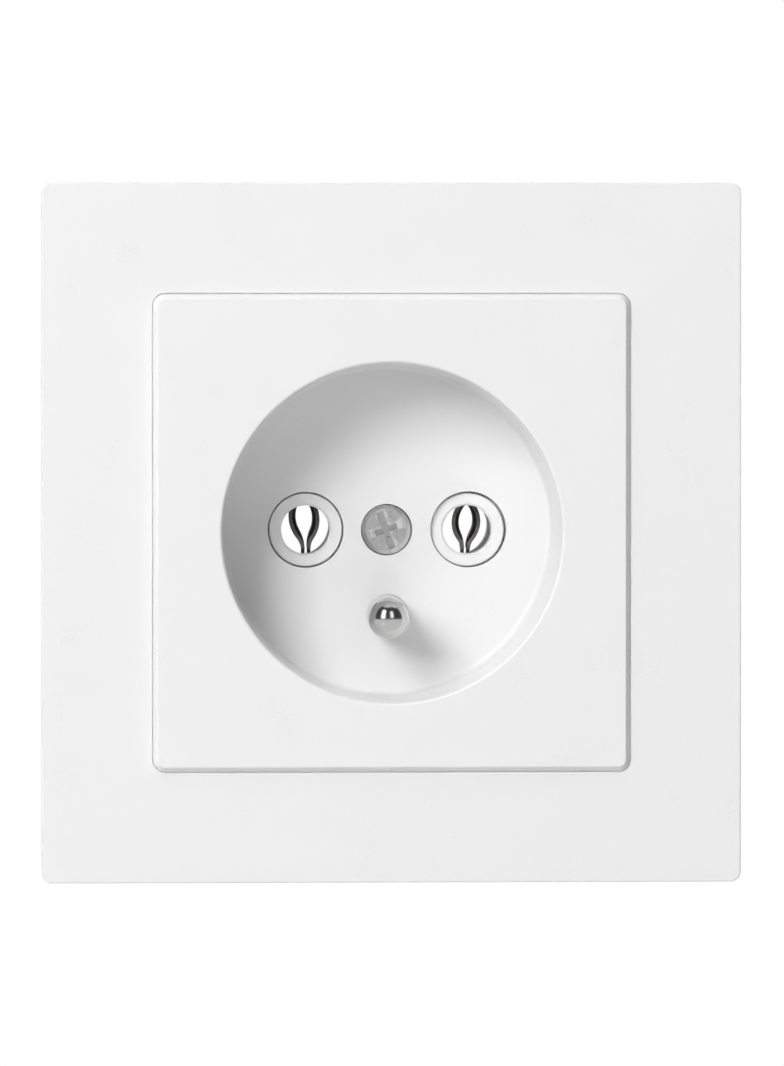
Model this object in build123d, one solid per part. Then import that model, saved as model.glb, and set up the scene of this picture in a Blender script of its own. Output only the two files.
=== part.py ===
from build123d import *
import math
import os

# A flush single socket for one wall box: a square cover frame, a centre plate with a round
# recess and a fixed earth pin, and behind them the insert that the box screws hold.
# Millimetres. X runs to the right and Z up as seen from the room, and Y runs into the wall.
# The wall's face is y = 0, so the covers have negative depths and the insert positive ones.
# The origin is where the axis between the two contacts meets the wall's face.

# Standard sizes of this kind of socket
CONTACT_SPACING = 19.0
CONTACT_BORE_R = 2.85
PIN_R = 2.4
PIN_DROP = 10.0
PIN_REACH = 14.0
RECESS_DEPTH = 15.4
BOX_SPACING = 60.0

# Cover frame: it reaches past the strap, and is 81 mm square
FRAME_CORNER_R = 1.2
FRAME_HEIGHT = 10.1
FRAME_FACE = 2.2
FRAME_WALL = 2.4
FRAME_EDGE = 0.25
FRAME_RIB = 1.0
FRAME_RIB_OFFSET = 17.0
COLLAR_WALL = 2.3
LEDGE_HEIGHT = 3.0
LEDGE_WIDTH = 1.6

# Centre plate
PLATE_SIZE = 55.44
PLATE_CORNER_R = 1.5
PLATE_GAP = 0.05
PLATE_PROUD = 0.9
PLATE_SLOPE_DEPTH = 1.1
PLATE_SLOPE = 0.65
PLATE_SKIRT = 1.6
PLATE_FACE = 1.8
PLATE_RIB = 1.0
PLATE_RIBS = 16
RECESS_R = 19.7
RECESS_DRAFT = 0.4
RECESS_LIP = 0.35
CUP_WALL = 1.5
CUP_FLOOR = 1.8
COLLAR_R = 4.29
COLLAR_GAP = 0.1
COLLAR_EDGE = 0.12
COLLAR_SET_BACK = 0.75
PIN_HOLE_GAP = 0.05

# Cover screw and its seat
SCREW_R = 1.48
SCREW_HEAD_R = 2.65
SCREW_HEAD_HEIGHT = 1.9
SCREW_LENGTH = 12.5
SCREW_WELL_R = 3.02
SCREW_WELL_DEPTH = 3.1
SCREW_BOSS_WALL = 0.93
SCREW_BOSS_LENGTH = 2.8
SCREW_HOLE_R = 1.7
DRIVE_SLOT = 0.85
DRIVE_DEPTH = 1.0
DRIVE_ARM = 1.5
DRIVE_TURN = 19.0

# Mounting strap and its rivets
STRAP_THICKNESS = 1.0
STRAP_EDGE_GAP = 2.6
STRAP_CORNER_R = 4.0
SLOT_R = 2.1
SLOT_LENGTH = 5.4
SLOT_SET_IN = 5.5
CUP_GAP = 0.8
RIVET_R = 1.4
RIVET_HEAD_R = 2.2
RIVET_HEAD_HEIGHT = 0.9
RIVET_LENGTH = 5.6
RIVET_SET_OUT = 3.1
NOTCH_WIDTH = 9.0
NOTCH_DEPTH = 1.6
FRAME_HOLE = 3.0
FRAME_HOLE_SET_IN = 5.0

# Insert body and back cover
RING_GAP = 0.2
RING_WALL = 3.7
FLANGE_EXTRA = 1.0
FLANGE_THICKNESS = 2.0
FLOOR_GAP = 0.3
BODY_DEPTH = 20.0
BODY_FRONT_WALL = 2.0
BODY_WALL = 1.6
BODY_TOP = 17.0
BODY_SIDE_FLAT = 3.5
BODY_RIB = 1.2
BODY_RIB_SHORT = 2.5
TOWER_WALL = 1.3
COLLAR_DEPTH = 2.85
BORE_EDGE_R = 0.25
CHAMBER_R = 4.0
COVER_THICKNESS = 2.0
WINDOW_R = 3.5
COVER_SCREW_Z = 4.6
COVER_SCREW_R = 1.2
COVER_SCREW_LENGTH = 10.0
COVER_SCREW_HEAD_R = 2.3
COVER_SCREW_HEAD_HEIGHT = 1.5
COVER_SCREW_BOSS_R = 2.6

# Thread bush
BUSH_R = 2.5
BUSH_LENGTH = 8.0
BUSH_SET_BACK = 3.5
BUSH_BORE_R = 1.52
BUSH_GROOVE = 0.25

# Contacts
SHEET = 0.45
LEAF_SET_BACK = 0.6
LEAF_LENGTH = 10.4
LEAF_FLARE = 0.45
LEAF_FLARE_LENGTH = 1.8
LEG_WIDTH = 2.4
LEG_SET_BACK = 2.6
LEAF_FOOT_GAP = 0.12
LEAF_FOOT_Z = -2.4
FOOT_REACH = 4.5

# Terminals
CAGE_WIDTH = 7.4
CAGE_HEIGHT = 9.0
CAGE_LENGTH = 6.5
CAGE_SIDE = 1.0
CAGE_TOP = 1.2
CAGE_BASE = 2.6
CAGE_SET_BACK = 7.1
CAGE_DROP = 5.0
EARTH_CAGE_DROP = 11.9
TONGUE_WIDTH = 4.8
TONGUE_THICKNESS = 0.9
TONGUE_GAP = 0.1
TONGUE_OVERRUN = 0.2
PAD_THICKNESS = 1.0
PAD_LIFT = 0.5
PAD_SIDE_GAP = 0.3
TERMINAL_SCREW_R = 1.75
TERMINAL_HEAD_R = 2.8
TERMINAL_HEAD_HEIGHT = 2.2
TERMINAL_HEAD_GAP = 0.8
TERMINAL_SLOT = 0.9
TERMINAL_SLOT_DEPTH = 1.1
ACCESS_R = 3.1
WIRE_SLOT_LENGTH = 7.0
WIRE_SLOT_WIDTH = 3.2
KEEPER_WIDTH = 4.0
KEEPER_HEIGHT = 1.4

# Earth pin and bar
PIN_NECK_R = 2.1
PIN_NECK_GAP = 0.2
PIN_FLANGE_R = 3.4
PIN_FLANGE_THICKNESS = 1.4
PIN_RIVET_R = 1.9
PIN_RIVET_HEAD_R = 2.8
PIN_RIVET_HEAD_HEIGHT = 0.8
PIN_SEAT_DEPTH = 3.5
EARTH_BAR_WIDTH = 7.8
EARTH_BAR_THICKNESS = 1.0
EARTH_BEND_R = 0.8

# Clearances
SLIDE_GAP = 0.05
PART_GAP = 0.2

# Depths, worked out from the sizes above
PLATE_FRONT = -(FRAME_HEIGHT + PLATE_PROUD)
LEDGE_Y = -(STRAP_THICKNESS + LEDGE_HEIGHT)
FLOOR_Y = PLATE_FRONT + RECESS_DEPTH
CUP_BACK = FLOOR_Y + CUP_FLOOR
BODY_FRONT = CUP_BACK + FLOOR_GAP
BODY_REAR = BODY_FRONT + BODY_DEPTH
INNER_FRONT = BODY_FRONT + BODY_FRONT_WALL
COVER_REAR = BODY_REAR + COVER_THICKNESS
COLLAR_Y = FLOOR_Y + COLLAR_SET_BACK
CHAMBER_Y = COLLAR_Y + COLLAR_DEPTH
LEAF_Y = CHAMBER_Y + LEAF_SET_BACK
LEG_Y = CHAMBER_Y + LEG_SET_BACK
CAGE_Y = BODY_FRONT + CAGE_SET_BACK
CAGE_MID_Y = CAGE_Y + CAGE_LENGTH / 2
TONGUE_END_Y = CAGE_Y + CAGE_LENGTH + TONGUE_OVERRUN
SCREW_SEAT_Y = FLOOR_Y + SCREW_WELL_DEPTH
SCREW_TOP_Y = SCREW_SEAT_Y - SCREW_HEAD_HEIGHT
BOSS_END_Y = CUP_BACK + SCREW_BOSS_LENGTH
BUSH_Y = BODY_FRONT + BUSH_SET_BACK
PIN_TIP_Y = FLOOR_Y - PIN_REACH
PIN_SEAT_Y = BODY_FRONT + PIN_SEAT_DEPTH
EARTH_BAR_Y = PIN_SEAT_Y + PIN_FLANGE_THICKNESS
EARTH_BAR_BACK = EARTH_BAR_Y + EARTH_BAR_THICKNESS

# Widths and radii, worked out from the sizes above
OPENING = PLATE_SIZE + 2 * PLATE_GAP
OPENING_CORNER_R = PLATE_CORNER_R + PLATE_GAP
COLLAR_OUTER = OPENING + 2 * COLLAR_WALL
STRAP_SIZE = BOX_SPACING + 2 * SLOT_SET_IN
FRAME_HOLE_OFFSET = STRAP_SIZE / 2 - FRAME_HOLE_SET_IN
FRAME_INNER = STRAP_SIZE + 2 * STRAP_EDGE_GAP
FRAME_SIZE = FRAME_INNER + 2 * FRAME_WALL
STRAP_HOLE_R = RECESS_R + CUP_WALL + CUP_GAP
RING_INNER_R = STRAP_HOLE_R - RING_GAP
BODY_R = RING_INNER_R + RING_WALL
BODY_SIDE = BODY_R - BODY_SIDE_FLAT
RIVET_X = (RING_INNER_R + RIVET_SET_OUT) * math.sqrt(0.5)
SCREW_BOSS_R = SCREW_WELL_R + SCREW_BOSS_WALL
CONTACT_X = CONTACT_SPACING / 2
COVER_SCREW_X = CONTACT_X + CHAMBER_R + TOWER_WALL + COVER_SCREW_BOSS_R
TERMINAL_X = CONTACT_X + FOOT_REACH
PIN_Z = -PIN_DROP

# Half the gap between a contact's two leaves, and its height from the bore's axis, at the
# tip and at the widest place. The left pair stays open at its tip and the right pair closes.
LEFT_LEAF = ((0.66, 2.75), (0.97, 1.3))
RIGHT_LEAF = ((0.06, 2.8), (0.84, 0.8))


def across(y):
    """The drawing plane across the socket at depth y, seen from the room."""
    return Plane.XZ.offset(-y)


def slab(outline, front, back, taper=0.0):
    """An outline drawn in X and Z, pushed from depth back out to depth front."""
    return extrude(across(back) * outline, back - front, taper=taper)


def round_bar(r, front, back, x=0.0, z=0.0):
    """A round bar along Y."""
    return slab(Pos(x, z) * Circle(r), front, back)


def square(size, corner_r):
    """A square outline with round corners."""
    return RectangleRounded(size, size, corner_r)


def block(x, y, z):
    """A block between two values on each axis."""
    spans = [(min(pair), max(pair)) for pair in (x, y, z)]
    sizes = [high - low for low, high in spans]
    return Pos(*[low for low, high in spans]) * Box(*sizes, align=(Align.MIN,) * 3)


def post(r, x, y, z_low, z_high):
    """A round bar along Z."""
    return extrude(Plane.XY.offset(z_low) * Pos(x, y) * Circle(r), z_high - z_low)


def turned(profile, x=0.0, z=0.0):
    """A closed profile of radius and depth, spun about an axis along Y."""
    return Pos(x, 0, z) * revolve(make_face(Polyline(*profile, close=True)), Axis.Y)


def front_face(shape):
    """The flat face that stands furthest out into the room."""
    return shape.faces().filter_by(Axis.Y).sort_by(Axis.Y)[0]


def make_cover_frame():
    """The outer frame: a square shell with a collar and a ledge that the centre plate clamps."""
    face_back = -FRAME_HEIGHT + FRAME_FACE
    shell = slab(square(FRAME_SIZE, FRAME_CORNER_R), -FRAME_HEIGHT, 0)
    shell -= slab(Rectangle(FRAME_INNER, FRAME_INNER), face_back, 0)
    collar = slab(square(COLLAR_OUTER, OPENING_CORNER_R), face_back, -STRAP_THICKNESS)
    rib_end = -STRAP_THICKNESS - PART_GAP
    for turn in range(4):
        for offset in (-FRAME_RIB_OFFSET, FRAME_RIB_OFFSET):
            rib = block(
                (COLLAR_OUTER / 2 - FRAME_RIB, FRAME_INNER / 2 + FRAME_RIB),
                (face_back, rib_end),
                (offset - FRAME_RIB / 2, offset + FRAME_RIB / 2),
            )
            shell += Rot(0, 90 * turn, 0) * rib
    frame = shell + collar
    frame -= slab(square(OPENING, OPENING_CORNER_R), -FRAME_HEIGHT, LEDGE_Y)
    inner = OPENING - 2 * LEDGE_WIDTH
    frame -= slab(square(inner, OPENING_CORNER_R), LEDGE_Y, 0)
    face = front_face(frame)
    rims = face.outer_wire().edges() + face.inner_wires()[0].edges()
    return chamfer(rims, FRAME_EDGE)


def make_centre_plate():
    """The centre plate: a sloping rim, a skirt, and a deep cup with the holes in its floor."""
    slope_back = PLATE_FRONT + PLATE_SLOPE_DEPTH
    angle = math.degrees(math.atan2(PLATE_SLOPE, PLATE_SLOPE_DEPTH))
    outline = square(PLATE_SIZE, PLATE_CORNER_R)
    plate = slab(outline, PLATE_FRONT, slope_back, taper=angle) + slab(outline, slope_back, LEDGE_Y)
    inner = PLATE_SIZE - 2 * PLATE_SKIRT
    face_back = PLATE_FRONT + PLATE_FACE
    plate -= slab(Rectangle(inner, inner), face_back, LEDGE_Y)

    cup_r = RECESS_R + CUP_WALL
    floor_r = RECESS_R - RECESS_DRAFT
    cup = turned([(0, face_back - PLATE_FACE / 2), (cup_r, face_back - PLATE_FACE / 2),
                  (floor_r + CUP_WALL, CUP_BACK), (0, CUP_BACK)])
    skirt_r = inner / 2
    rib_end = LEDGE_Y - PLATE_RIB
    for count in range(PLATE_RIBS):
        turn = 360 / PLATE_RIBS * count
        reach = skirt_r / max(abs(math.cos(math.radians(turn))), abs(math.sin(math.radians(turn))))
        rib = block((cup_r - CUP_WALL / 2, reach), (face_back, rib_end), (-PLATE_RIB / 2, PLATE_RIB / 2))
        plate += Rot(0, turn, 0) * rib
    plate += cup
    plate += round_bar(SCREW_BOSS_R, CUP_BACK, BOSS_END_Y)
    plate -= turned([(0, PLATE_FRONT), (RECESS_R, PLATE_FRONT), (floor_r, FLOOR_Y), (0, FLOOR_Y)])

    plate -= round_bar(SCREW_WELL_R, FLOOR_Y, SCREW_SEAT_Y)
    plate -= round_bar(SCREW_HOLE_R, SCREW_SEAT_Y, BOSS_END_Y)
    plate -= round_bar(PIN_R + PIN_HOLE_GAP, FLOOR_Y, CUP_BACK, z=PIN_Z)
    for side in (-1, 1):
        plate -= round_bar(COLLAR_R + COLLAR_GAP, FLOOR_Y, CUP_BACK, x=side * CONTACT_X)

    return chamfer(front_face(plate).inner_wires()[0].edges(), RECESS_LIP)


def drive_cut(turn, top, depth, direction):
    """The cut of a combination drive: one slot right across and a shorter cross through it."""
    reach = SCREW_HEAD_R + 1
    cut = block((-DRIVE_SLOT / 2, DRIVE_SLOT / 2), (top, top + direction * depth), (-reach, reach))
    arm = block((-DRIVE_ARM, DRIVE_ARM), (top, top + direction * depth), (-DRIVE_SLOT / 2, DRIVE_SLOT / 2))
    return Rot(0, turn, 0) * (cut + arm)


def pan_head_screw(shank_r, head_r, head_height, top, seat, end):
    """A pan head screw along Y, from the top of its head to the end of its shank."""
    direction = 1 if seat > top else -1
    crown = direction * head_height * 0.3
    point = direction * shank_r * 0.5
    return turned([
        (0, top), (head_r * 0.72, top), (head_r * 0.93, top + crown / 2), (head_r, top + 2 * crown),
        (head_r, seat), (shank_r, seat), (shank_r, end - point), (shank_r * 0.6, end), (0, end),
    ])


def make_cover_screw():
    """The one screw that holds the centre plate and, under it, the frame."""
    end = SCREW_SEAT_Y + SCREW_LENGTH
    screw = pan_head_screw(SCREW_R, SCREW_HEAD_R, SCREW_HEAD_HEIGHT, SCREW_TOP_Y, SCREW_SEAT_Y, end)
    return screw - drive_cut(-DRIVE_TURN, SCREW_TOP_Y, DRIVE_DEPTH, 1)


def slot_outline(length, width, turn=0.0):
    """A slot with round ends, given from end to end."""
    return Rot(0, 0, turn) * SlotOverall(length, width)


def make_mounting_strap():
    """The steel strap that the box screws hold, with a slot at the middle of each side."""
    strap = slab(square(STRAP_SIZE, STRAP_CORNER_R), -STRAP_THICKNESS, 0)
    strap -= round_bar(STRAP_HOLE_R, -STRAP_THICKNESS, 0)
    middle = BOX_SPACING / 2
    for x, z, turn in ((-middle, 0, 0), (middle, 0, 0), (0, -middle, 90), (0, middle, 90)):
        slot = Pos(x, z) * slot_outline(SLOT_LENGTH, 2 * SLOT_R, turn)
        strap -= slab(slot, -STRAP_THICKNESS, 0)
    for side_x in (-1, 1):
        for side_z in (-1, 1):
            strap -= round_bar(RIVET_R + SLIDE_GAP, -STRAP_THICKNESS, 0, side_x * RIVET_X, side_z * RIVET_X)
            corner = Pos(side_x * FRAME_HOLE_OFFSET, side_z * FRAME_HOLE_OFFSET) * Rectangle(FRAME_HOLE, FRAME_HOLE)
            strap -= slab(corner, -STRAP_THICKNESS, 0)
    for turn in range(4):
        notch = block(
            (STRAP_SIZE / 2 - NOTCH_DEPTH, STRAP_SIZE / 2 + NOTCH_DEPTH),
            (-STRAP_THICKNESS, 0),
            (FRAME_RIB_OFFSET - NOTCH_WIDTH / 2, FRAME_RIB_OFFSET + NOTCH_WIDTH / 2),
        )
        strap -= Rot(0, 90 * turn, 0) * notch
    return strap


def make_strap_rivets():
    """Four rivets that hold the strap on the insert body."""
    top = -STRAP_THICKNESS - RIVET_HEAD_HEIGHT
    end = RIVET_LENGTH - STRAP_THICKNESS
    profile = [(0, top), (RIVET_HEAD_R * 0.7, top), (RIVET_HEAD_R, -STRAP_THICKNESS),
               (RIVET_R, -STRAP_THICKNESS), (RIVET_R, end), (0, end)]
    places = [(x * RIVET_X, z * RIVET_X) for x in (-1, 1) for z in (-1, 1)]
    return Compound([turned(profile, x, z).solid() for x, z in places])


def body_outline(inset=0.0):
    """The insert's outline: a circle with flats at its sides and its top."""
    r = BODY_R - inset
    side = BODY_SIDE - inset
    top = BODY_TOP - inset
    return Circle(r) & Pos(0, (top - r) / 2) * Rectangle(2 * side, top + r)


def terminals():
    """The place of each terminal: its name, its X and the height of its cage's top."""
    return (
        ("left", -TERMINAL_X, -CAGE_DROP),
        ("right", TERMINAL_X, -CAGE_DROP),
        ("earth", 0.0, -EARTH_CAGE_DROP),
    )


def cage_pocket(x, top, grow, front, back):
    """The block of room round a terminal cage, grown on each side."""
    half = CAGE_WIDTH / 2 + PART_GAP + grow
    low = top - CAGE_HEIGHT - PART_GAP - grow
    return block((x - half, x + half), (front, back), (low, top + PART_GAP + grow))


def make_insert_body():
    """The moulded insert: a mounting ring, contact towers, terminal pockets and stiffening ribs."""
    ring = round_bar(BODY_R, 0, BODY_FRONT) + round_bar(BODY_R + FLANGE_EXTRA, 0, FLANGE_THICKNESS)
    boss_r = RIVET_R + TOWER_WALL
    for x in (-RIVET_X, RIVET_X):
        for z in (-RIVET_X, RIVET_X):
            ring += round_bar(boss_r, 0, BODY_FRONT, x, z)
    ring -= round_bar(RING_INNER_R, 0, BODY_FRONT)

    box = slab(body_outline(), INNER_FRONT, BODY_REAR) - slab(body_outline(BODY_WALL), INNER_FRONT, BODY_REAR)
    body = ring + round_bar(BODY_R, BODY_FRONT, INNER_FRONT) + box

    inside = slab(body_outline(BODY_WALL / 2), BODY_FRONT, BODY_REAR)
    cells = round_bar(SCREW_BOSS_R + PART_GAP + TOWER_WALL, INNER_FRONT, BUSH_Y + BUSH_LENGTH + PART_GAP)
    rib_rear = BODY_REAR - BODY_RIB_SHORT
    for side in (-1, 1):
        tower_x = side * CONTACT_X
        cells += round_bar(CHAMBER_R + TOWER_WALL, INNER_FRONT, BODY_REAR, x=tower_x)
        cells += round_bar(COVER_SCREW_BOSS_R, INNER_FRONT, BODY_REAR, side * COVER_SCREW_X, COVER_SCREW_Z)
        rib_x = (tower_x - BODY_RIB / 2, tower_x + BODY_RIB / 2)
        cells += block(rib_x, (INNER_FRONT, rib_rear), (CHAMBER_R + TOWER_WALL / 2, BODY_TOP))
        outer_x = side * (CONTACT_X + CHAMBER_R + TOWER_WALL)
        rib_x = (outer_x - BODY_RIB / 2, outer_x + BODY_RIB / 2)
        cells += block(rib_x, (INNER_FRONT, rib_rear), (0, BODY_TOP))
        rib_z = (COVER_SCREW_Z - BODY_RIB / 2, COVER_SCREW_Z + BODY_RIB / 2)
        cells += block((side * COVER_SCREW_X, side * BODY_SIDE), (INNER_FRONT, rib_rear), rib_z)
    cells += block((-BODY_RIB / 2, BODY_RIB / 2), (INNER_FRONT, rib_rear), (0, BODY_TOP))
    shelf_z = (CHAMBER_R + BODY_TOP) / 2
    cells += block(
        (-BODY_SIDE, BODY_SIDE), (INNER_FRONT, rib_rear), (shelf_z - BODY_RIB / 2, shelf_z + BODY_RIB / 2)
    )
    for name, x, top in terminals():
        cells += cage_pocket(x, top, TOWER_WALL, INNER_FRONT, BODY_REAR)
        cells += post(ACCESS_R + TOWER_WALL, x, CAGE_MID_Y, -BODY_R, top - CAGE_HEIGHT)
    bar_top = PIN_Z + EARTH_BAR_WIDTH / 2 + PART_GAP
    bar_half = EARTH_BAR_WIDTH / 2 + PART_GAP
    cells += block(
        (-bar_half - TOWER_WALL, bar_half + TOWER_WALL),
        (INNER_FRONT, BODY_REAR),
        (-EARTH_CAGE_DROP - CAGE_HEIGHT / 2, bar_top + TOWER_WALL),
    )
    body += cells & inside
    for side in (-1, 1):
        body += turned([
            (0, COLLAR_Y), (COLLAR_R - COLLAR_EDGE, COLLAR_Y), (COLLAR_R, COLLAR_Y + COLLAR_EDGE),
            (COLLAR_R, BODY_FRONT), (0, BODY_FRONT),
        ], x=side * CONTACT_X)

    body -= round_bar(SCREW_BOSS_R + PART_GAP, BODY_FRONT, BOSS_END_Y + FLOOR_GAP)
    body -= round_bar(SCREW_HOLE_R, BOSS_END_Y, BUSH_Y)
    body -= round_bar(BUSH_R + SLIDE_GAP, BUSH_Y, BODY_REAR)
    for side in (-1, 1):
        tower_x = side * CONTACT_X
        body -= round_bar(CHAMBER_R, CHAMBER_Y, BODY_REAR, x=tower_x)
        body -= turned([
            (0, COLLAR_Y), (CONTACT_BORE_R + BORE_EDGE_R, COLLAR_Y),
            (CONTACT_BORE_R, COLLAR_Y + BORE_EDGE_R), (CONTACT_BORE_R, CHAMBER_Y), (0, CHAMBER_Y),
        ], x=tower_x)
        neck = SHEET + LEAF_FOOT_GAP + PART_GAP
        tongue_top = -CAGE_DROP - CAGE_TOP
        tongue_low = tongue_top - TONGUE_GAP - TONGUE_THICKNESS - PART_GAP
        slot_front = LEG_Y - PART_GAP
        body -= block((tower_x - neck, tower_x + neck), (slot_front, BODY_REAR), (0, tongue_low))
        far_x = side * (TERMINAL_X + TONGUE_WIDTH / 2 + PART_GAP)
        near_x = tower_x - side * neck
        body -= block((near_x, far_x), (slot_front, CAGE_Y), (tongue_top + PART_GAP, tongue_low))
        body -= round_bar(
            COVER_SCREW_R + SLIDE_GAP, BODY_REAR - COVER_SCREW_LENGTH, BODY_REAR,
            side * COVER_SCREW_X, COVER_SCREW_Z,
        )
    for name, x, top in terminals():
        body -= cage_pocket(x, top, 0, CAGE_Y - PART_GAP, BODY_REAR)
        body -= post(ACCESS_R, x, CAGE_MID_Y, -BODY_R - FLANGE_EXTRA, top - CAGE_HEIGHT)

    body -= round_bar(PIN_NECK_R + SLIDE_GAP, BODY_FRONT, PIN_SEAT_Y, z=PIN_Z)
    bar_low = -EARTH_CAGE_DROP - CAGE_TOP - TONGUE_GAP - EARTH_BAR_THICKNESS - PART_GAP
    body -= block((-bar_half, bar_half), (PIN_SEAT_Y, BODY_REAR), (bar_low, bar_top))
    for x in (-RIVET_X, RIVET_X):
        for z in (-RIVET_X, RIVET_X):
            body -= round_bar(RIVET_R + SLIDE_GAP, 0, RIVET_LENGTH - STRAP_THICKNESS + PART_GAP, x, z)
    return body


def make_back_cover():
    """The insert's back cover, with a window behind each contact and the wire entries."""
    cover = slab(body_outline(), BODY_REAR, COVER_REAR)
    for name, x, top in terminals():
        keeper_low = top - CAGE_HEIGHT + KEEPER_HEIGHT / 2
        cover += block(
            (x - KEEPER_WIDTH / 2, x + KEEPER_WIDTH / 2),
            (CAGE_Y + CAGE_LENGTH + PART_GAP, BODY_REAR),
            (keeper_low, keeper_low + KEEPER_HEIGHT),
        )
        wire_z = (tongue_low(top) + pad_top(top)) / 2
        entry = Pos(x, wire_z) * slot_outline(WIRE_SLOT_LENGTH, WIRE_SLOT_WIDTH)
        cover -= slab(entry, BODY_REAR, COVER_REAR)
    for side in (-1, 1):
        cover -= round_bar(WINDOW_R, BODY_REAR, COVER_REAR, x=side * CONTACT_X)
        cover -= round_bar(
            COVER_SCREW_R + PART_GAP, BODY_REAR, COVER_REAR, side * COVER_SCREW_X, COVER_SCREW_Z
        )
    return cover


def make_back_cover_screws():
    """Two screws that hold the back cover."""
    end = BODY_REAR - COVER_SCREW_LENGTH + PART_GAP
    screw = pan_head_screw(
        COVER_SCREW_R, COVER_SCREW_HEAD_R, COVER_SCREW_HEAD_HEIGHT,
        COVER_REAR + COVER_SCREW_HEAD_HEIGHT, COVER_REAR, end,
    )
    screw -= drive_cut(0, COVER_REAR + COVER_SCREW_HEAD_HEIGHT, DRIVE_DEPTH, -1)
    return Compound([(Pos(side * COVER_SCREW_X, 0, COVER_SCREW_Z) * screw).solid() for side in (-1, 1)])


def make_thread_bush():
    """The brass bush that the cover screw turns into, with a groove that grips the moulding."""
    groove = BUSH_R - BUSH_GROOVE
    ends = [BUSH_Y + BUSH_LENGTH * share for share in (0, 0.35, 0.65, 1)]
    return turned([
        (BUSH_BORE_R, ends[0]), (BUSH_R, ends[0]), (BUSH_R, ends[1]), (groove, ends[1]),
        (groove, ends[2]), (BUSH_R, ends[2]), (BUSH_R, ends[3]), (BUSH_BORE_R, ends[3]),
    ])


def leaf_section(leaf, spread):
    """One leaf's cut across the contact, opened by spread except at its foot.

    Two arcs that touch make the bow: the upper one is widest at its middle and the lower one
    meets the foot upright. The strip's two sides share the arcs' centres.
    """
    (tip_gap, tip_z), (wide_gap, wide_z) = leaf
    wide = wide_gap + spread
    narrowing, rise = wide_gap - tip_gap, tip_z - wide_z
    bow_r = (narrowing**2 + rise**2) / (2 * narrowing)
    bulge, drop = wide - LEAF_FOOT_GAP, wide_z - LEAF_FOOT_Z
    sway_r = (bulge**2 + drop**2) / (2 * bulge) - bow_r
    bow = (wide - bow_r, wide_z)
    sway = (LEAF_FOOT_GAP + sway_r, LEAF_FOOT_Z)
    tip_turn = math.degrees(math.atan2(rise, bow_r - narrowing))
    join_turn = math.degrees(math.atan2(sway[1] - bow[1], sway[0] - bow[0]))
    inside = [CenterArc(bow, bow_r, tip_turn, join_turn - tip_turn),
              CenterArc(sway, sway_r, 180 + join_turn, -join_turn)]
    outside = [CenterArc(bow, bow_r + SHEET, tip_turn, join_turn - tip_turn),
               CenterArc(sway, sway_r - SHEET, 180 + join_turn, -join_turn)]
    ends = [Line(inside[0] @ 0, outside[0] @ 0), Line(inside[1] @ 1, outside[1] @ 1)]
    return make_face(inside + outside + ends)


def make_contact(side, leaf):
    """One line contact: two sprung leaves, two legs, and a foot that runs into the terminal."""
    section = across(LEAF_Y + LEAF_FLARE_LENGTH) * leaf_section(leaf, 0)
    mouth = across(LEAF_Y) * leaf_section(leaf, LEAF_FLARE)
    blade = loft([section, mouth]) + extrude(section, -(LEAF_LENGTH - LEAF_FLARE_LENGTH))
    foot_top = -CAGE_DROP - CAGE_TOP - TONGUE_GAP
    leg_x = (LEAF_FOOT_GAP, LEAF_FOOT_GAP + SHEET)
    blade += block(leg_x, (LEG_Y, LEG_Y + LEG_WIDTH), (LEAF_FOOT_Z, foot_top - SHEET))
    pair = blade + mirror(blade, Plane.YZ)
    foot_low = foot_top - TONGUE_THICKNESS
    near = side * (LEAF_FOOT_GAP + SHEET)
    middle = side * FOOT_REACH
    far = middle + side * TONGUE_WIDTH / 2
    foot = block((-near, far), (LEG_Y, LEG_Y + LEG_WIDTH), (foot_top, foot_low))
    foot += block((middle - side * TONGUE_WIDTH / 2, far), (LEG_Y, TONGUE_END_Y), (foot_top, foot_low))
    return Pos(side * CONTACT_X, 0, 0) * (pair + foot)


def tongue_low(top):
    """The underside of the tongue in a cage whose top is at this height."""
    return top - CAGE_TOP - TONGUE_GAP - TONGUE_THICKNESS


def pad_low(top):
    """The underside of the clamp pad in a cage whose top is at this height."""
    return top - CAGE_HEIGHT + CAGE_BASE + PAD_LIFT


def pad_top(top):
    """The upper side of the clamp pad in a cage whose top is at this height."""
    return pad_low(top) + PAD_THICKNESS


def make_terminal_cage(x, top):
    """A terminal cage: a short tube for the wires, with a threaded base for its screw."""
    half = CAGE_WIDTH / 2
    low = top - CAGE_HEIGHT
    cage = block((x - half, x + half), (CAGE_Y, CAGE_Y + CAGE_LENGTH), (low, top))
    room = half - CAGE_SIDE
    cage -= block((x - room, x + room), (CAGE_Y, CAGE_Y + CAGE_LENGTH), (low + CAGE_BASE, top - CAGE_TOP))
    cage = fillet(cage.edges().filter_by(Axis.Y).group_by(SortBy.DISTANCE)[-1], CAGE_SIDE / 2)
    return cage - post(TERMINAL_SCREW_R + SLIDE_GAP, x, CAGE_MID_Y, low, low + CAGE_BASE)


def make_clamp_pad(x, top):
    """The loose pad between a terminal screw and the wires."""
    half = CAGE_WIDTH / 2 - CAGE_SIDE - PAD_SIDE_GAP
    span = (CAGE_Y + PAD_SIDE_GAP, CAGE_Y + CAGE_LENGTH - PAD_SIDE_GAP)
    return block((x - half, x + half), span, (pad_low(top), pad_top(top)))


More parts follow.
